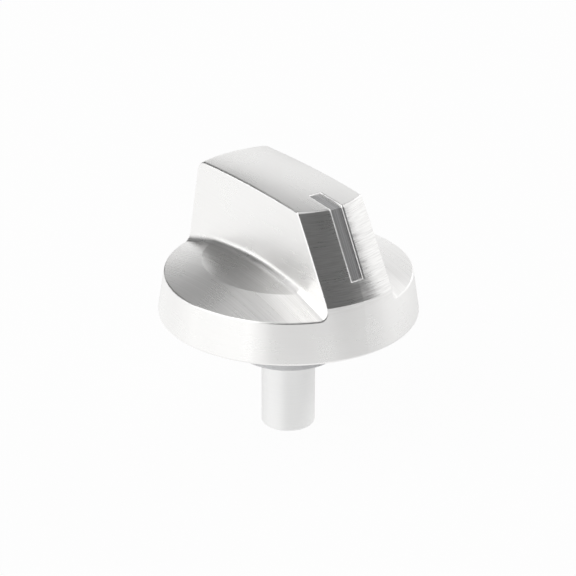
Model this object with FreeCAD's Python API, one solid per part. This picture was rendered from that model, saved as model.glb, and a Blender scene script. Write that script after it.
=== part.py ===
import FreeCAD, Part
import math
import os

# An oven control knob: a brushed zinc casting with a bar grip on a round skirt, an indicator
# strip let into the grip, and a moulded hub that carries a sleeved stem with a D socket.
# Lengths are in millimetres and angles in degrees. Z runs up along the valve shaft from the
# lower end of the stem, and the pointer end of the grip faces -Y. A height in a name is
# measured up from the lower edge of the skirt, unless its comment says otherwise.

# Skirt of the casting
stem_drop = 26.2  # lower end of the stem up to the lower edge of the skirt
skirt_radius = 27.0
skirt_taper = 8.95
skirt_edge_round = 0.4
rim_height = 8.75

# Sloping shelves beside the grip, an outer bevel and a flatter inner cone
bevel_slope = 18.0
bevel_inner_radius = 17.8
shelf_slope = 9.5

# Bar grip
grip_half_width = 8.15  # at the height where the front end starts to lean
grip_draft = 0.56
front_break_rise = 2.4  # rim up to where the front end starts to lean
front_lean = 29.1
back_lean = 10.5
top_height = 28.58
crown_radius = 266.0
crown_centre_y = 2.5
root_round = 1.8
edge_round = 0.4
front_top_round = 0.7
back_top_round = 3.0

# Walls of the casting
grip_wall = 2.3
end_wall = 2.5
top_wall = 2.9
shelf_wall = 2.2
skirt_inner_radius = 22.6
mouth_radius = 24.2
mouth_lead_in = 0.5

# Indicator groove and the strip in it
groove_width = 2.5
groove_start_y = -8.7
groove_end_height = 14.9
groove_depth = 0.4  # surface of the grip down to the face of the strip
groove_edge_round = 0.3
strip_thickness = 0.7
strip_clearance = 0.03

# Hub, one moulding: flange, collar and the post inside the sleeve
flange_thickness = 2.4
flange_recess = 2.4  # lower edge of the skirt up to the flange
flange_clearance = 0.15
collar_radius = 11.0
collar_drop = 9.3  # lower edge of the skirt down to the end of the collar
collar_round = 0.5
collar_wall = 2.2
collar_end_thickness = 6.0
post_cap = 1.8  # wall over the inner end of the socket
gusset_count = 6
gusset_thickness = 1.5
gusset_reach = 5.6
gusset_depth = 4.2

# Valve shaft socket in the post: a wide round mouth and a close D behind it
socket_mouth_radius = 3.25
socket_mouth_length = 10.0
socket_radius = 3.05
socket_d_length = 14.0
socket_flat = 1.55  # axis to the flat

# Sleeve round the stem
sleeve_radius = 5.6
sleeve_wall = 0.8
sleeve_socket_depth = 4.0
sleeve_clearance = 0.02
sleeve_edge_round = 0.5

# Leaf spring on the flat of the socket
spring_width = 3.4
spring_thickness = 0.4
spring_foot = 1.3
spring_rise = 0.6
spring_slot_depth = 0.8
spring_slot_lip = 0.8  # flat left standing under the lower end of the slot
spring_side_clearance = 0.2
spring_end_clearance = 0.25

# Screws that hold the hub in the casting
screw_offset = 15.6
screw_shank_radius = 1.25
screw_length = 9.0
screw_head_radius = 2.8
screw_head_height = 1.8
screw_head_round = 0.7
screw_tip_length = 1.2
screw_tip_radius = 0.5
screw_recess_width = 0.7
screw_recess_span = 3.2
screw_recess_depth = 1.1
screw_hole_clearance = 0.35
screw_pilot_clearance = 0.02
screw_pilot_extra = 1.5

# Bosses and ribs under the casting
boss_radius = 3.1
rib_thickness = 1.6
rib_angles = (35.0, 145.0, 215.0, 325.0)
rib_inner_radius = 12.5

# Room that a cutting shape reaches past the solid it cuts
over = 1.0

# Limits for telling faces apart
tolerance = 0.001
shelf_cone_angle = 45.0  # a cone that opens wider than this is a shelf

skirt_z = stem_drop
front_break_height = rim_height + front_break_rise
origin = FreeCAD.Vector(0, 0, 0)
z_axis = FreeCAD.Vector(0, 0, 1)


def slope(angle):
    """Rise over run of an angle in degrees."""
    return math.tan(math.radians(angle))


def skirt_radius_at(height):
    """Outer radius of the skirt at a height."""
    return skirt_radius - height * slope(skirt_taper)


def grip_half_width_at(height):
    """Half the width of the grip at a height."""
    return grip_half_width - (height - front_break_height) * slope(grip_draft)


rim_radius = skirt_radius_at(rim_height)
bevel_top_height = rim_height + (rim_radius - bevel_inner_radius) * slope(bevel_slope)
collar_end_z = skirt_z - collar_drop
flange_low_z = skirt_z + flange_recess
flange_top_z = flange_low_z + flange_thickness
ledge_height = flange_recess + flange_thickness
sleeve_top_z = collar_end_z + sleeve_socket_depth
socket_top_z = socket_mouth_length + socket_d_length
slot_low_z = socket_mouth_length + spring_slot_lip
slot_floor_y = socket_flat + spring_slot_depth


def shelf_height(radius):
    """Height of the shelf beside the grip at a distance from the axis."""
    if radius >= bevel_inner_radius:
        return rim_height + (rim_radius - radius) * slope(bevel_slope)
    return bevel_top_height + (bevel_inner_radius - radius) * slope(shelf_slope)


def crown_height(y, depth=0.0):
    """Height of the crowned top at y, or of a surface a given depth under it."""
    sag = crown_radius - math.sqrt(crown_radius ** 2 - (y - crown_centre_y) ** 2)
    return top_height - sag - depth


def front_y_at(height, depth=0.0):
    """Y of the leaning front end at x = 0, or of a surface a given depth under it."""
    radius = skirt_radius_at(front_break_height) - (height - front_break_height) * slope(front_lean)
    return depth / math.cos(math.radians(front_lean)) - radius


def face_of(points):
    """Flat face inside a closed outline of straight runs."""
    return Part.Face(Part.makePolygon(points + [points[0]]))


def turned(outline, sweep=360, start=90):
    """Solid turned from (radius, z) points, from the angle start through sweep."""
    solid = face_of([FreeCAD.Vector(radius, 0, z) for radius, z in outline])
    solid.rotate(origin, z_axis, start)
    return solid.revolve(origin, z_axis, sweep)


def block(x_low, x_high, y_low, y_high, z_low, z_high):
    """Box between two corners."""
    corner = FreeCAD.Vector(x_low, y_low, z_low)
    return Part.makeBox(x_high - x_low, y_high - y_low, z_high - z_low, corner)


def post(radius, z_low, z_high, x=0.0, y=0.0):
    """Upright cylinder between two heights."""
    return Part.makeCylinder(radius, z_high - z_low, FreeCAD.Vector(x, y, z_low))


def faces_on(shape, edge):
    """Faces of a shape that meet at an edge."""
    return shape.ancestorsOfType(edge, Part.Face)


def edges_between(shape, first, second):
    """Edges where a face that passes one test meets a face that passes another."""
    found = []
    for edge in shape.Edges:
        faces = faces_on(shape, edge)
        if len(faces) != 2:
            continue
        one, other = faces
        if (first(one) and second(other)) or (first(other) and second(one)):
            found.append(edge)
    return found


def height_of(face):
    """Height of a face's centre above the lower edge of the skirt."""
    return face.CenterOfMass.z - skirt_z


def circles_at(shape, radius, z):
    """Round edges of a radius at a height z."""
    return [edge for edge in shape.Edges if isinstance(edge.Curve, Part.Circle)
            and abs(edge.Curve.Radius - radius) < tolerance
            and abs(edge.CenterOfMass.z - z) < tolerance]


def is_side(face):
    """True for the two flat flanks of the grip."""
    if not isinstance(face.Surface, Part.Plane):
        return False
    normal = face.Surface.Axis
    return abs(normal.x) > max(abs(normal.y), abs(normal.z))


def is_crown(face):
    """True for the long shallow arc on top of the grip."""
    surface = face.Surface
    return isinstance(surface, Part.Cylinder) and surface.Radius > skirt_radius


def is_shelf(face):
    """True for the cones that slope up beside the grip."""
    if not isinstance(face.Surface, Part.Cone):
        return False
    return math.degrees(abs(face.Surface.SemiAngle)) > shelf_cone_angle


def is_lower_edge(face):
    """True for the flat ring on which the skirt ends."""
    return isinstance(face.Surface, Part.Plane) and abs(height_of(face)) < tolerance


def is_steep_cone(face):
    """True for the skirt and for the leaning ends of the grip."""
    return isinstance(face.Surface, Part.Cone) and not is_shelf(face)


def is_front_end(face):
    """True for the leaning front of the grip."""
    return is_steep_cone(face) and height_of(face) > front_break_height and face.CenterOfMass.y < 0


def is_back_end(face):
    """True for the back of the grip."""
    return is_steep_cone(face) and height_of(face) > front_break_height and face.CenterOfMass.y > 0


def is_root(face):
    """True for the hollow rounds between the grip and the shelves."""
    if isinstance(face.Surface, Part.Plane) or is_shelf(face) or is_steep_cone(face):
        return False
    if abs(face.CenterOfMass.x) < grip_half_width:
        return False
    return height_of(face) < shelf_height(0) + root_round


def is_flank(face):
    """True for what the grip's side shows: its flank, the root round and the shelf."""
    return is_side(face) or is_shelf(face) or is_root(face)


def is_shell(face):
    """True for the turned outside of the casting and the top of the grip."""
    return not is_flank(face) and not is_lower_edge(face)


def lean_body(lean, inset):
    """Turned body whose skirt leans in above the break, with its outside moved inwards."""
    skirt_inset = inset / math.cos(math.radians(skirt_taper))
    lean_inset = inset / math.cos(math.radians(lean))
    break_shift = (lean_inset - skirt_inset) / (slope(lean) - slope(skirt_taper))
    break_height = front_break_height - break_shift
    lean_rise = top_height + over - front_break_height
    high_radius = skirt_radius_at(front_break_height) - lean_inset - lean_rise * slope(lean)
    return turned([
        (0, skirt_z),
        (skirt_radius - skirt_inset, skirt_z),
        (skirt_radius_at(break_height) - skirt_inset, skirt_z + break_height),
        (high_radius, skirt_z + top_height + over),
        (0, skirt_z + top_height + over),
    ])


def end_form(inset):
    """Turned body that leans steeply at the back and gently at the front."""
    back = lean_body(back_lean, inset)
    front = lean_body(front_lean, inset)
    front_room = block(-skirt_radius, skirt_radius, -skirt_radius, 0,
                       skirt_z + front_break_height / 2, skirt_z + top_height + 2 * over)
    return back.cut(front_room.cut(front))


def bar_form(inset, top_inset):
    """Long bar with drafted flanks and a crowned top, with its walls moved inwards."""
    z_high = skirt_z + top_height + over
    half_low = grip_half_width_at(-over) - inset
    half_high = grip_half_width_at(top_height + over) - inset
    section = face_of([
        FreeCAD.Vector(-half_low, -skirt_radius, skirt_z - over),
        FreeCAD.Vector(half_low, -skirt_radius, skirt_z - over),
        FreeCAD.Vector(half_high, -skirt_radius, z_high),
        FreeCAD.Vector(-half_high, -skirt_radius, z_high),
    ])
    bar = section.extrude(FreeCAD.Vector(0, 2 * skirt_radius, 0))
    crown_axis = FreeCAD.Vector(-skirt_radius, crown_centre_y, skirt_z + top_height - crown_radius)
    crown = Part.makeCylinder(
        crown_radius - top_inset, 2 * skirt_radius, crown_axis, FreeCAD.Vector(1, 0, 0))
    return bar.common(crown)


def shelf_body():
    """Turned body under the shelves, wider than the skirt."""
    reach = skirt_radius + over
    return turned([
        (0, skirt_z - over),
        (reach, skirt_z - over),
        (reach, skirt_z + shelf_height(reach)),
        (bevel_inner_radius, skirt_z + bevel_top_height),
        (0, skirt_z + shelf_height(0)),
    ])


def outer_form():
    """Outside of the casting before it is hollowed, with its left half mirrored to the right."""
    form = end_form(0).common(bar_form(0, 0).fuse(shelf_body()).removeSplitter()).removeSplitter()
    form = form.makeFillet(back_top_round, edges_between(form, is_crown, is_back_end))
    form = form.makeFillet(front_top_round, edges_between(form, is_crown, is_front_end))
    form = form.makeFillet(root_round, edges_between(form, is_side, is_shelf))
    outline = edges_between(form, is_flank, is_shell)
    form = form.makeFillet(edge_round, [edge for edge in outline if edge.CenterOfMass.x < 0])
    left = form.common(block(
        -skirt_radius, 0, -skirt_radius, skirt_radius, skirt_z, skirt_z + top_height + over))
    form = left.fuse(left.mirror(origin, FreeCAD.Vector(1, 0, 0))).removeSplitter()
    return form.makeFillet(skirt_edge_round, edges_between(form, is_lower_edge, is_steep_cone))


def under_form():
    """Room under the casting: the mouth for the hub, the dish and the core of the grip."""
    bevel_drop = shelf_wall / math.cos(math.radians(bevel_slope))
    shelf_drop = shelf_wall / math.cos(math.radians(shelf_slope))
    break_shift = (bevel_drop - shelf_drop) / (slope(bevel_slope) - slope(shelf_slope))
    break_radius = bevel_inner_radius - break_shift
    dish = turned([
        (0, skirt_z - over),
        (mouth_radius + mouth_lead_in + over, skirt_z - over),
        (mouth_radius, skirt_z + mouth_lead_in),
        (mouth_radius, skirt_z + ledge_height),
        (skirt_inner_radius, skirt_z + ledge_height),
        (skirt_inner_radius, skirt_z + shelf_height(skirt_inner_radius) - bevel_drop),
        (break_radius, skirt_z + shelf_height(break_radius) - shelf_drop),
        (0, skirt_z + shelf_height(0) - shelf_drop),
    ])
    core = bar_form(grip_wall, top_wall).common(end_form(end_wall))
    return dish.fuse(core)


def groove_cutter(depth, half_width):
    """Everything over the floor of the groove: its floor lies a given depth under the grip."""
    bend_y, bend_height = groove_bend(depth)
    end_y = front_y_at(groove_end_height, depth)
    outline = [
        (groove_start_y, crown_height(groove_start_y, depth)),
        (bend_y, bend_height),
        (end_y, groove_end_height),
        (-skirt_radius, groove_end_height),
        (-skirt_radius, top_height + over),
        (groove_start_y, top_height + over),
    ]
    face = face_of([FreeCAD.Vector(-half_width, y, skirt_z + height) for y, height in outline])
    return face.extrude(FreeCAD.Vector(2 * half_width, 0, 0))


def groove_bend(depth):
    """Point where the floors of the groove on the top and on the front meet."""
    height = crown_height(front_y_at(top_height), depth)
    return front_y_at(height, depth), height


def screw_places():
    """Y of each screw, boss and screw hole."""
    return (-screw_offset, screw_offset)


def is_groove_wall(face):
    """True for the flat walls of the indicator groove."""
    if is_curved(face) or height_of(face) < groove_end_height - tolerance:
        return False
    return abs(face.CenterOfMass.x) < groove_width and face.CenterOfMass.y < groove_start_y + tolerance


def is_curved(face):
    """True for every face that is not flat."""
    return not isinstance(face.Surface, Part.Plane)


def knob_head():
    """Zinc casting: skirt, shelves and grip, hollow from below, with bosses and ribs."""
    outside = outer_form()
    outside = outside.cut(groove_cutter(groove_depth + strip_thickness, groove_width / 2))
    outside = outside.makeFillet(groove_edge_round, edges_between(outside, is_groove_wall, is_curved))
    room = under_form()
    head = outside.cut(room)

    ceiling = skirt_z + top_height
    half_rib = rib_thickness / 2
    filling = []
    for y in screw_places():
        filling.append(post(boss_radius, flange_top_z, ceiling, 0, y))
        y_low, y_high = sorted((y, math.copysign(skirt_radius, y)))
        filling.append(block(-half_rib, half_rib, y_low, y_high, flange_top_z + over, ceiling))
    for angle in rib_angles:
        rib = block(rib_inner_radius, skirt_radius, -half_rib, half_rib, flange_top_z, ceiling)
        rib.rotate(origin, z_axis, angle)
        filling.append(rib)
    for shape in filling:
        head = head.fuse(shape.common(room))
    pilot_depth = screw_length - flange_thickness + screw_pilot_extra
    for y in screw_places():
        head = head.cut(post(screw_shank_radius + screw_pilot_clearance,
                             flange_top_z - over, flange_top_z + pilot_depth, 0, y))
    return head.removeSplitter()


def indicator_strip():
    """Strip bent over the front edge of the grip and let into its groove."""
    half_width = groove_width / 2 - strip_clearance
    strip = groove_cutter(groove_depth + strip_thickness, half_width)
    return strip.cut(groove_cutter(groove_depth, half_width + over))


def socket_form():
    """Room for the valve shaft: a round mouth, a D stretch and the slot for the spring."""
    mouth = post(socket_mouth_radius, -over, socket_mouth_length)
    stretch = post(socket_radius, 0, socket_top_z)
    stretch = stretch.common(block(
        -socket_radius, socket_radius, -socket_radius, socket_flat, 0, socket_top_z))
    half_slot = spring_width / 2 + spring_side_clearance
    slot = block(-half_slot, half_slot, 0, slot_floor_y, slot_low_z, socket_top_z)
    return mouth.fuse(stretch).fuse(slot)


def hub():
    """Moulding that closes the casting: flange, collar, post with the socket, and gussets."""
    post_radius = sleeve_radius - sleeve_wall - sleeve_clearance
    seat_radius = sleeve_radius + sleeve_clearance
    flange_radius = mouth_radius - flange_clearance
    hollow_low_z = collar_end_z + collar_end_thickness
    core_top_z = socket_top_z + post_cap
    body = turned([
        (0, 0),
        (post_radius, 0),
        (post_radius, sleeve_top_z),
        (seat_radius, sleeve_top_z),
        (seat_radius, collar_end_z),
        (collar_radius, collar_end_z),
        (collar_radius, flange_low_z),
        (flange_radius, flange_low_z),
        (flange_radius, flange_top_z),
        (collar_radius - collar_wall, flange_top_z),
        (collar_radius - collar_wall, hollow_low_z),
        (post_radius, hollow_low_z),
        (post_radius, core_top_z),
        (0, core_top_z),
    ])
    body = body.makeFillet(collar_round, circles_at(body, collar_radius, collar_end_z))
    half_gusset = gusset_thickness / 2
    web = face_of([
        FreeCAD.Vector(collar_radius - collar_wall / 2, -half_gusset, flange_low_z),
        FreeCAD.Vector(collar_radius + gusset_reach, -half_gusset, flange_low_z),
        FreeCAD.Vector(collar_radius, -half_gusset, flange_low_z - gusset_depth),
        FreeCAD.Vector(collar_radius - collar_wall / 2, -half_gusset, flange_low_z - gusset_depth),
    ])
    gusset = web.extrude(FreeCAD.Vector(0, gusset_thickness, 0))
    for number in range(gusset_count):
        placed = gusset.copy()
        placed.rotate(origin, z_axis, number * 360 / gusset_count)
        body = body.fuse(placed)
    body = body.cut(socket_form())
    for y in screw_places():
        body = body.cut(post(screw_shank_radius + screw_hole_clearance,
                             flange_low_z - over, flange_top_z + over, 0, y))
    return body.removeSplitter()


def stem_sleeve():
    """Metal tube over the post, with its upper end seated in the collar."""
    tube = post(sleeve_radius, 0, sleeve_top_z)
    tube = tube.makeFillet(sleeve_edge_round, circles_at(tube, sleeve_radius, 0))
    return tube.cut(post(sleeve_radius - sleeve_wall, -over, sleeve_top_z + over))


def bowed_line(y, z_low, z_high):
    """Edges along one side of the leaf: a flat foot, the bow towards the axis, a flat foot."""
    foot_top = z_low + spring_foot
    foot_low = z_high - spring_foot
    crest = FreeCAD.Vector(0, y - spring_rise, (z_low + z_high) / 2)
    bow = Part.Arc(FreeCAD.Vector(0, y, foot_top), crest, FreeCAD.Vector(0, y, foot_low))
    return [
        Part.makeLine(FreeCAD.Vector(0, y, z_low), FreeCAD.Vector(0, y, foot_top)),
        bow.toShape(),
        Part.makeLine(FreeCAD.Vector(0, y, foot_low), FreeCAD.Vector(0, y, z_high)),
    ]


def spring_clip():
    """Bowed leaf whose feet lie on the floor of the slot in the socket's flat."""
    z_low = slot_low_z + spring_end_clearance
    z_high = socket_top_z - spring_end_clearance
    inner_y = slot_floor_y - spring_thickness
    edges = bowed_line(slot_floor_y, z_low, z_high) + bowed_line(inner_y, z_low, z_high)
    for z in (z_low, z_high):
        edges.append(Part.makeLine(FreeCAD.Vector(0, slot_floor_y, z), FreeCAD.Vector(0, inner_y, z)))
    leaf = Part.Face(Part.Wire(Part.sortEdges(edges)[0]))
    leaf.translate(FreeCAD.Vector(-spring_width / 2, 0, 0))
    return leaf.extrude(FreeCAD.Vector(spring_width, 0, 0))


def hub_screw(y):
    """Self-tapping screw with a pan head, driven upwards through the flange."""
    head_low_z = flange_low_z - screw_head_height
    tip_z = flange_low_z + screw_length
    screw = turned([
        (0, head_low_z),
        (screw_head_radius, head_low_z),
        (screw_head_radius, flange_low_z),
        (screw_shank_radius, flange_low_z),
        (screw_shank_radius, tip_z - screw_tip_length),
        (screw_tip_radius, tip_z),
        (0, tip_z),
    ])
    screw = screw.makeFillet(screw_head_round, circles_at(screw, screw_head_radius, head_low_z))
    half_span = screw_recess_span / 2
    half_width = screw_recess_width / 2
    recess_top_z = head_low_z + screw_recess_depth
    for half_x, half_y in ((half_span, half_width), (half_width, half_span)):
        screw = screw.cut(block(-half_x, half_x, -half_y, half_y, head_low_z - over, recess_top_z))
    screw.translate(FreeCAD.Vector(0, y, 0))
    return screw


def hub_screws():
    """Both screws as one group of separate solids."""
    return Part.makeCompound([hub_screw(y) for y in screw_places()])


def main():
    """Write one file for each piece."""
    os.makedirs("parts", exist_ok=True)
    pieces = {
        "knob_head": knob_head(),
        "indicator_strip": indicator_strip(),
        "hub": hub(),
        "stem_sleeve": stem_sleeve(),
        "spring_clip": spring_clip(),
        "hub_screws": hub_screws(),
    }
    for name, shape in pieces.items():
        shape.exportStep("parts/" + name + ".step")
        print(name, shape.isValid(), len(shape.Solids), round(shape.Volume, 2))


main()
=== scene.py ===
import math
from types import SimpleNamespace

import bpy
from mathutils import Matrix, Vector

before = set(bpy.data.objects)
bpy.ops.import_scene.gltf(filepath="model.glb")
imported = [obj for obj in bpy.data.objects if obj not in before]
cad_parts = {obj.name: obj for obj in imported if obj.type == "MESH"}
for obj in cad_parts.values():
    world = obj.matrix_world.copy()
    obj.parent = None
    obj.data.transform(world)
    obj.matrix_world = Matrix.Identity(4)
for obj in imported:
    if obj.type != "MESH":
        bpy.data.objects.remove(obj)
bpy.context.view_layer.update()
mm = 0.001


# The knob's head: one zinc casting, skirt and bar grip together. It is brushed by belt along the
# grip and round the skirt, then plated in satin nickel, so the fine scratches run along the grip on
# its top, flanks and shelves, and round the axis on its skirt and on the two ends of the grip.
def add_node(tree, kind, inputs=None, **settings):
    """Adds a node, sets it up, and puts a value or another node's output into each named input."""
    made = tree.nodes.new(kind)
    for name, value in settings.items():
        setattr(made, name, value)
    for socket, value in (inputs or {}).items():
        if isinstance(value, bpy.types.NodeSocket):
            tree.links.new(value, made.inputs[socket])
        else:
            made.inputs[socket].default_value = value
    return made


def calc(tree, operation, first, second=0.0, third=0.0):
    """A Math node's output."""
    made = add_node(tree, "ShaderNodeMath", {0: first, 1: second, 2: third}, operation=operation)
    return made.outputs[0]


def product(tree, first, *others):
    """Numbers multiplied together. With shares from 0 to 1 it keeps only where all of them hold."""
    result = first
    for other in others:
        result = calc(tree, "MULTIPLY", result, other)
    return result


def rest_of(tree, share):
    """What a share leaves of 1."""
    return calc(tree, "SUBTRACT", 1.0, share)


def blend_between(tree, value, low, high):
    """0 below low and 1 above high, with a smooth change between them."""
    made = add_node(
        tree,
        "ShaderNodeMapRange",
        {"Value": value, "From Min": low, "From Max": high},
        interpolation_type="SMOOTHSTEP",
    )
    return made.outputs["Result"]


def mix(tree, share, first, second):
    """A number that goes from first to second as share goes from 0 to 1."""
    made = add_node(
        tree, "ShaderNodeMix", {"Factor": share, "A": first, "B": second}, data_type="FLOAT"
    )
    return made.outputs["Result"]


def vector_of(tree, x, y=0.0, z=0.0):
    """A vector from its three numbers."""
    return add_node(tree, "ShaderNodeCombineXYZ", {0: x, 1: y, 2: z}).outputs[0]


def noise(tree, where, scale=1.0, detail=2.0):
    """Soft noise, about 0.5 on average."""
    made = add_node(tree, "ShaderNodeTexNoise", {"Vector": where, "Scale": scale, "Detail": detail})
    return made.outputs["Fac"]


def new_finish(name, colour, metallic, **fixed):
    """A material with a Principled shader, whose even values sit on its own sockets."""
    finish = bpy.data.materials.new(name)
    finish.use_nodes = True
    tree = finish.node_tree
    shader = tree.nodes["Principled BSDF"]
    shader.inputs["Base Color"].default_value = (*colour, 1.0)
    shader.inputs["Metallic"].default_value = metallic
    for socket, value in fixed.items():
        shader.inputs[socket.replace("_", " ")].default_value = value
    finish.diffuse_color = (*colour, 1.0)
    return finish, tree, shader


def object_place(tree):
    """The point in Object coordinates, its numbers, its distance from the axis, and its normal."""
    coords = add_node(tree, "ShaderNodeTexCoord")
    point = coords.outputs["Object"]
    x, y, z = add_node(tree, "ShaderNodeSeparateXYZ", {0: point}).outputs
    flat = calc(tree, "ADD", calc(tree, "MULTIPLY", x, x), calc(tree, "MULTIPLY", y, y))
    radius = calc(tree, "SQRT", flat)
    return SimpleNamespace(point=point, x=x, y=y, z=z, radius=radius, normal=coords.outputs["Normal"])


def round_streaks(tree, at, along, across):
    """Noise drawn out round the axis: slow in x and y, fast with the radius and the height."""
    where = vector_of(
        tree,
        calc(tree, "MULTIPLY", at.x, along),
        calc(tree, "MULTIPLY", at.y, along),
        calc(tree, "MULTIPLY", at.z, across),
    )
    made = add_node(
        tree,
        "ShaderNodeTexNoise",
        {"Vector": where, "W": calc(tree, "MULTIPLY", at.radius, across), "Scale": 1.0, "Detail": 2.0},
        noise_dimensions="4D",
    )
    return made.outputs["Fac"]


def straight_streaks(tree, wide, length, high, along, across):
    """Noise drawn out along the length: slow in that number, fast in the two others."""
    where = vector_of(
        tree,
        calc(tree, "MULTIPLY", wide, across),
        calc(tree, "MULTIPLY", length, along),
        calc(tree, "MULTIPLY", high, across),
    )
    return noise(tree, where)


def to_world(tree, direction):
    """A direction on the piece as the shader takes it."""
    made = add_node(
        tree,
        "ShaderNodeVectorTransform",
        {0: direction},
        vector_type="VECTOR",
        convert_from="OBJECT",
        convert_to="WORLD",
    )
    return made.outputs[0]


def unit(tree, vector):
    """The same direction with a length of 1."""
    return add_node(tree, "ShaderNodeVectorMath", {0: vector}, operation="NORMALIZE").outputs[0]


def add_vectors(tree, first, second):
    """The sum of two vectors."""
    return add_node(tree, "ShaderNodeVectorMath", {0: first, 1: second}, operation="ADD").outputs[0]


def round_axis(tree, at):
    """The level direction round the knob's axis."""
    return unit(tree, vector_of(tree, calc(tree, "MULTIPLY", at.y, -1.0), at.x))


def set_colour(tree, shader, share, first, second):
    """Lets the base colour go from first to second as share goes from 0 to 1."""
    made = add_node(tree, "ShaderNodeMix", {0: share}, data_type="RGBA")
    made.inputs[6].default_value = (*first, 1.0)
    made.inputs[7].default_value = (*second, 1.0)
    tree.links.new(made.outputs[2], shader.inputs["Base Color"])


def set_roughness(tree, shader, pattern, spread, least):
    """Lets the roughness rise from its least by the pattern's share of the spread."""
    tree.links.new(calc(tree, "MULTIPLY_ADD", pattern, spread, least), shader.inputs["Roughness"])


def set_bump(tree, shader, height, strength, normal=None):
    """Bumps the surface by a height pattern, a fiftieth of a millimetre at full strength."""
    inputs = {"Height": height, "Strength": strength, "Distance": 0.02 * mm}
    if normal:
        inputs["Normal"] = normal
    made = add_node(tree, "ShaderNodeBump", inputs)
    tree.links.new(made.outputs["Normal"], shader.inputs["Normal"])


brushed, tree, shader = new_finish(
    "brushed_satin_nickel",
    (0.90, 0.895, 0.885),
    1.0,
    Anisotropic=0.7,
    Anisotropic_Rotation=0.25,
    IOR=1.5,
)
at = object_place(tree)

# Which way the belt ran: along the grip on level faces and flanks, and elsewhere round the axis.
grip_reach = 12 * mm
facing = add_node(tree, "ShaderNodeSeparateXYZ", {0: at.normal}).outputs
on_grip = calc(tree, "LESS_THAN", calc(tree, "ABSOLUTE", at.x), grip_reach)
sideways = blend_between(tree, calc(tree, "ABSOLUTE", facing["X"]), 0.55, 0.8)
flank = product(tree, sideways, on_grip)
level = blend_between(tree, facing["Z"], 0.75, 0.9)
lengthwise = calc(tree, "MAXIMUM", flank, level)
brush_mix = add_node(tree, "ShaderNodeMix", {"Factor": lengthwise}, data_type="VECTOR")
tree.links.new(round_axis(tree, at), brush_mix.inputs[4])
brush_mix.inputs[5].default_value = (0.0, 1.0, 0.0)
brush_way = brush_mix.outputs[1]

# The scratches, broad and fine. On a level face they don't change with the height, so that they
# run straight on over the shelves' slopes.
upright = product(tree, at.z, rest_of(tree, level))
strokes = mix(
    tree,
    lengthwise,
    round_streaks(tree, at, 300.0, 6000.0),
    straight_streaks(tree, at.x, at.y, upright, 24.0, 3200.0),
)
hairs = mix(
    tree,
    lengthwise,
    round_streaks(tree, at, 240.0, 11000.0),
    straight_streaks(tree, at.x, at.y, upright, 40.0, 9000.0),
)
grain = mix(tree, 0.5, strokes, hairs)

# How much they show: most on the two ends of the grip, less on the shelves, and least elsewhere.
above_skirt = blend_between(tree, at.z, 35 * mm, 38 * mm)
above_shelves = blend_between(tree, at.z, 44 * mm, 46 * mm)
grip_end = product(tree, rest_of(tree, lengthwise), on_grip, above_skirt)
shelf = product(tree, level, rest_of(tree, above_shelves))
contrast = mix(tree, grip_end, mix(tree, shelf, 0.08, 0.6), 0.9)
even_shade = 0.75
shade = calc(tree, "SUBTRACT", blend_between(tree, grain, 0.32, 0.68), even_shade)
shade = calc(tree, "MULTIPLY_ADD", shade, contrast, even_shade)
set_colour(tree, shader, shade, (0.77, 0.765, 0.755), (0.98, 0.975, 0.965))
cloud = noise(tree, at.point, scale=140.0)
set_roughness(tree, shader, cloud, 0.04, calc(tree, "MULTIPLY_ADD", grain, 0.04, 0.24))

# The belt gives a little at the edges. It rounds the top from side to side, more so at the back.
crown_width = 11 * mm
backwards = blend_between(tree, at.y, -12 * mm, 12 * mm)
crown_turn = mix(tree, backwards, 0.15 / crown_width, 0.34 / crown_width)
high_up = blend_between(tree, at.z, 46 * mm, 48 * mm)
crown = product(tree, at.x, crown_turn, high_up, level)

# It also dips towards the groove for the pointer, so both sides of the groove catch the light as a
# fine line. On the top it wears the right lip further down than the left one.
before_groove_end = calc(tree, "LESS_THAN", at.y, -8.5 * mm)
behind_bend = calc(tree, "GREATER_THAN", at.y, -15.6 * mm)
above_groove_foot = calc(tree, "GREATER_THAN", at.z, 41 * mm)
on_top = calc(tree, "GREATER_THAN", at.z, 53 * mm)
near_groove = rest_of(tree, blend_between(tree, calc(tree, "ABSOLUTE", at.x), 1.5 * mm, 1.9 * mm))
dip = product(tree, near_groove, before_groove_end, above_groove_foot, calc(tree, "SIGN", at.x))
near_lip = rest_of(tree, blend_between(tree, at.x, 1.46 * mm, 1.58 * mm))
right_half = calc(tree, "GREATER_THAN", at.x, 0.0)
lip = product(tree, near_lip, right_half, on_top, before_groove_end, behind_bend)
lean_x = calc(tree, "MULTIPLY_ADD", dip, -0.28, crown)
lean_x = calc(tree, "MULTIPLY_ADD", lip, -1.7, lean_x)
lean_y = calc(tree, "MULTIPLY", lip, -0.35)
skin = add_vectors(tree, at.normal, vector_of(tree, lean_x, lean_y))

# Each scratch leans the surface a little along the brushing, which draws the highlights out.
tilt = product(tree, calc(tree, "SUBTRACT", strokes, 0.5), mix(tree, grip_end, 0.014, 0.18))
along_brush = add_node(
    tree, "ShaderNodeVectorMath", {0: brush_way, "Scale": tilt}, operation="SCALE"
).outputs[0]
leaned = to_world(tree, unit(tree, add_vectors(tree, skin, along_brush)))
set_bump(tree, shader, grain, 0.02, leaned)
tree.links.new(to_world(tree, brush_way), shader.inputs["Tangent"])
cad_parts["knob_head"].material_slots[0].material = brushed

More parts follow.
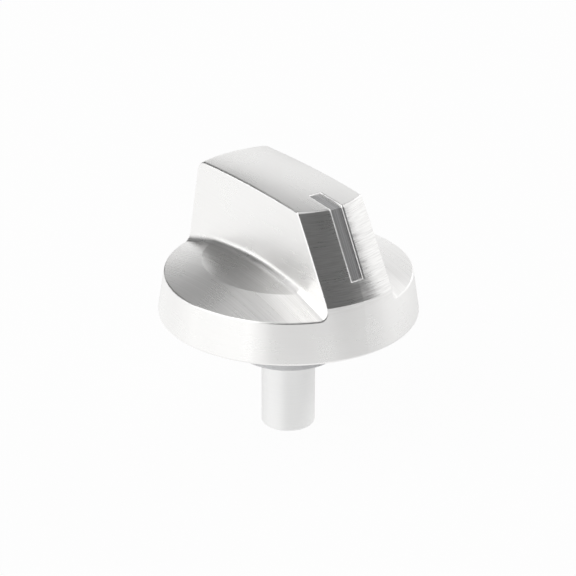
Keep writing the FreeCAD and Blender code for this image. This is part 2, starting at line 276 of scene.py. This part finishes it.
# The pointer: a strip of grey anodised aluminium, bent over the front edge of the grip and pressed
# into its groove. It is brushed along its length, so its fine lines run towards its two ends.
strip_finish, tree, shader = new_finish(
    "grey_anodised_strip", (0.58, 0.58, 0.585), 1.0, Anisotropic=0.6, IOR=1.5
)
at = object_place(tree)
down_the_strip = calc(tree, "SUBTRACT", at.y, at.z)
hairlines = straight_streaks(tree, at.x, down_the_strip, 0.0, 60.0, 5200.0)
lines = blend_between(tree, hairlines, 0.35, 0.65)
set_colour(tree, shader, lines, (0.44, 0.44, 0.445), (0.70, 0.70, 0.705))
set_roughness(tree, shader, lines, 0.1, 0.46)
set_bump(tree, shader, hairlines, 0.3)
tree.links.new(to_world(tree, vector_of(tree, 1.0)), shader.inputs["Tangent"])
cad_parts["indicator_strip"].material_slots[0].material = strip_finish

# The hub: one moulding of light grey glass-filled nylon that closes the casting from below and
# carries the stem. Its skin has the fine orange-peel of a moulded part, duller where glass shows.
nylon, tree, shader = new_finish("grey_nylon", (0.70, 0.70, 0.71), 0.0, IOR=1.53)
at = object_place(tree)
peel = noise(tree, at.point, scale=2600.0, detail=3.0)
flow = noise(tree, at.point, scale=160.0, detail=4.0)
set_colour(tree, shader, flow, (0.80, 0.80, 0.81), (0.88, 0.88, 0.89))
set_roughness(tree, shader, flow, 0.2, 0.38)
set_bump(tree, shader, peel, 0.25)
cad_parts["hub"].material_slots[0].material = nylon

# The stem's sleeve: a drawn steel tube over the hub's post, satin, with the faint rings that the
# drawing die and the trimming of its end leave round it.
satin, tree, shader = new_finish(
    "satin_steel", (0.89, 0.89, 0.885), 1.0, Anisotropic=0.5, Anisotropic_Rotation=0.25, IOR=1.5
)
at = object_place(tree)
rings = round_streaks(tree, at, 60.0, 7000.0)
set_colour(tree, shader, rings, (0.86, 0.86, 0.855), (0.92, 0.92, 0.915))
set_roughness(tree, shader, rings, 0.06, 0.42)
set_bump(tree, shader, rings, 0.05)
tree.links.new(to_world(tree, round_axis(tree, at)), shader.inputs["Tangent"])
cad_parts["stem_sleeve"].material_slots[0].material = satin

# The clip in the socket: a bowed leaf of blued spring steel that presses on the shaft's flat. The
# strip that it is cut from keeps its rolling marks, which run across the leaf.
spring, tree, shader = new_finish("spring_steel", (0.42, 0.42, 0.44), 1.0, IOR=1.5)
at = object_place(tree)
marks = straight_streaks(tree, at.z, at.x, at.y, 300.0, 6000.0)
set_colour(tree, shader, marks, (0.34, 0.34, 0.36), (0.5, 0.5, 0.52))
set_roughness(tree, shader, marks, 0.2, 0.25)
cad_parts["spring_clip"].material_slots[0].material = spring

# The two pan-head screws that hold the hub in the casting: steel, zinc plated, which leaves them
# bright but a little cloudy.
zinc, tree, shader = new_finish("zinc_plated_steel", (0.6, 0.6, 0.61), 1.0, IOR=1.5)
at = object_place(tree)
haze = noise(tree, at.point, scale=900.0, detail=4.0)
set_colour(tree, shader, haze, (0.5, 0.51, 0.53), (0.72, 0.71, 0.68))
set_roughness(tree, shader, haze, 0.25, 0.22)
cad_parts["hub_screws"].material_slots[0].material = zinc

# The floor: a plain pale sheet just under the stem's end. The camera sees it near white, with the
# knob's soft shadow, and it is clear from below, so that the knob shows from there too.
floor_half = 3.0
floor_gap = 0.05 * mm
bpy.ops.mesh.primitive_plane_add(size=2 * floor_half, location=(0, 0, -floor_gap))
floor = bpy.context.object
floor.name = "floor"
paper = bpy.data.materials.new("pale_floor")
paper.use_nodes = True
tree = paper.node_tree
tree.nodes.clear()
matt = add_node(tree, "ShaderNodeBsdfDiffuse", {"Color": (0.9, 0.9, 0.9, 1.0)})
lit = add_node(tree, "ShaderNodeEmission", {"Color": (1.0, 1.0, 1.0, 1.0), "Strength": 1.0})
path = add_node(tree, "ShaderNodeLightPath")
to_camera = product(tree, path.outputs["Is Camera Ray"], 0.96)

# The metal sees a lit sheet, which is dimmer close by on the right, where the photograph's skirt
# and stem darken.
across = add_node(
    tree, "ShaderNodeSeparateXYZ", {0: add_node(tree, "ShaderNodeTexCoord").outputs["Object"]}
).outputs[0]
close_right = calc(
    tree,
    "SUBTRACT",
    blend_between(tree, across, -10 * mm, 50 * mm),
    blend_between(tree, across, 100 * mm, 130 * mm),
)
to_metal = product(tree, path.outputs["Is Glossy Ray"], mix(tree, close_right, 1.0, 0.5))
lift = calc(tree, "MAXIMUM", to_camera, to_metal)
top = add_node(tree, "ShaderNodeMixShader", {0: lift, 1: matt.outputs[0], 2: lit.outputs[0]})
clear = add_node(tree, "ShaderNodeBsdfTransparent")
under = add_node(tree, "ShaderNodeNewGeometry").outputs["Backfacing"]
faces = add_node(tree, "ShaderNodeMixShader", {0: under, 1: top.outputs[0], 2: clear.outputs[0]})
add_node(tree, "ShaderNodeOutputMaterial", {"Surface": faces.outputs[0]})
floor.data.materials.append(paper)

# The lamps: large soft boxes round the knob, which the brushed metal shows as broad bright fields,
# and a dim even room that the camera sees as white.
target = Vector((0, 0, 35 * mm))


def soft_box(name, azimuth, elevation, distance, width, height, brightness):
    """A soft box that faces the knob. Azimuth 0 is on -Y and 90 on +X, as for the camera."""
    turn, rise = math.radians(azimuth), math.radians(elevation)
    away = Vector((math.sin(turn) * math.cos(rise), -math.cos(turn) * math.cos(rise), math.sin(rise)))
    lamp = bpy.data.lights.new(name, "AREA")
    lamp.shape = "RECTANGLE"
    lamp.size = width
    lamp.size_y = height
    lamp.energy = brightness * math.pi * width * height
    made = bpy.data.objects.new(name, lamp)
    bpy.context.scene.collection.objects.link(made)
    made.location = target + away * distance
    made.rotation_mode = "QUATERNION"
    made.rotation_quaternion = (-away).to_track_quat("-Z", "Y")
    made.visible_camera = False


soft_box("box_right", 83, 28, 1.3, 1.6, 1.4, 0.94)
soft_box("box_back_right", 136, 16, 1.35, 1.35, 0.9, 0.82)
soft_box("box_low_behind", -162, 4, 1.5, 1.4, 0.3, 0.65)
soft_box("box_left", -97, 30, 1.3, 1.65, 1.7, 1.22)
soft_box("box_low_left", -62, 3, 1.35, 0.4, 0.3, 0.9)
soft_box("box_low_left_behind", -132, 5, 1.3, 0.5, 0.3, 1.1)
soft_box("box_top", -130, 80, 1.2, 1.35, 1.3, 0.68)
soft_box("box_back_high", 170, 46, 1.3, 0.8, 0.55, 0.2)

world = bpy.data.worlds.new("room")
world.use_nodes = True
tree = world.node_tree
tree.nodes.clear()
path = add_node(tree, "ShaderNodeLightPath")
room = add_node(tree, "ShaderNodeBackground", {"Color": (1.0, 1.0, 1.0, 1.0), "Strength": 0.12})
white = add_node(tree, "ShaderNodeBackground", {"Color": (1.0, 1.0, 1.0, 1.0), "Strength": 1.0})
seen = path.outputs["Is Camera Ray"]
both = add_node(tree, "ShaderNodeMixShader", {0: seen, 1: room.outputs[0], 2: white.outputs[0]})
add_node(tree, "ShaderNodeOutputWorld", {"Surface": both.outputs[0]})
bpy.context.scene.world = world

# The camera, at the photograph's place: to the left of the pointer, a little above the knob.
lens_pixels = 2418.6
frame_pixels = 576
camera_place = (-266.4 * mm, -363.8 * mm, 242.2 * mm)
camera_azimuth = math.radians(-36.2)
camera_elevation = math.radians(25.137)
camera_roll = math.radians(0.155)
back = Vector(
    (
        math.sin(camera_azimuth) * math.cos(camera_elevation),
        -math.cos(camera_azimuth) * math.cos(camera_elevation),
        math.sin(camera_elevation),
    )
)
level_right = Vector((math.cos(camera_azimuth), math.sin(camera_azimuth), 0))
level_up = back.cross(level_right)
right = math.cos(camera_roll) * level_right + math.sin(camera_roll) * level_up
up = back.cross(right)
view = bpy.data.cameras.new("photo_view")
view.sensor_fit = "HORIZONTAL"
view.sensor_width = 36.0
view.lens = view.sensor_width * lens_pixels / frame_pixels
view.clip_start = 0.01
view.clip_end = 20
camera = bpy.data.objects.new("photo_view", view)
bpy.context.scene.collection.objects.link(camera)
turned = Matrix((right, up, back)).transposed().to_4x4()
camera.matrix_world = Matrix.Translation(camera_place) @ turned
bpy.context.scene.camera = camera
bpy.context.scene.view_settings.view_transform = "Standard"
